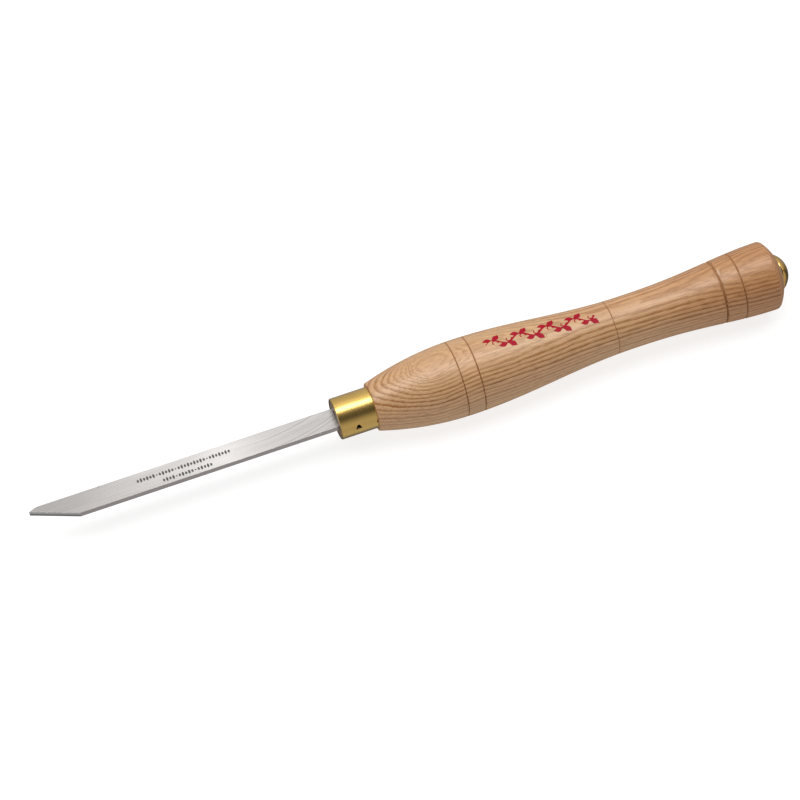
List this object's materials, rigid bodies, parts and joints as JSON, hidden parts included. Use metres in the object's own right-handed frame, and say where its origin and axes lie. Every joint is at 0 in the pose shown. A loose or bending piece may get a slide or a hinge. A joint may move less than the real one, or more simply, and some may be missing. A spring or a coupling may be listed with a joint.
{
  "type": "woodturning parting tool",
  "caption": "Flat steel bar ground to an off-centre V point, held by a brass ferrule in a long turned ash handle with cut grooves and a brass end dome.",
  "frame": {"origin": "on the tool's centre line, at the front face of the ferrule, where the bar enters the handle", "axes": "+X along the centre line towards the handle's butt, with the point at -X; +Z square to the bar's wide faces; -Y out of the narrow edge that the long bevel is cut from"},
  "size_m": [0.4249, 0.0412, 0.0412],
  "materials": {
    "tool_steel": "surface-ground high speed steel with fine grinding lines",
    "adhesive": "set adhesive, dull dark amber",
    "satin_brass": "satin turned brass",
    "ash_wood": "turned ash under clear lacquer",
    "polished_brass": "polished brass",
    "nail_steel": "bright drawn steel"
  },
  "bodies": {
    "root": {"blade": "tool_steel", "tang_adhesive": "adhesive", "ferrule": "satin_brass", "handle": "ash_wood", "dome_cap": "polished_brass", "dome_nail": "nail_steel"}
  },
  "joints": []
}
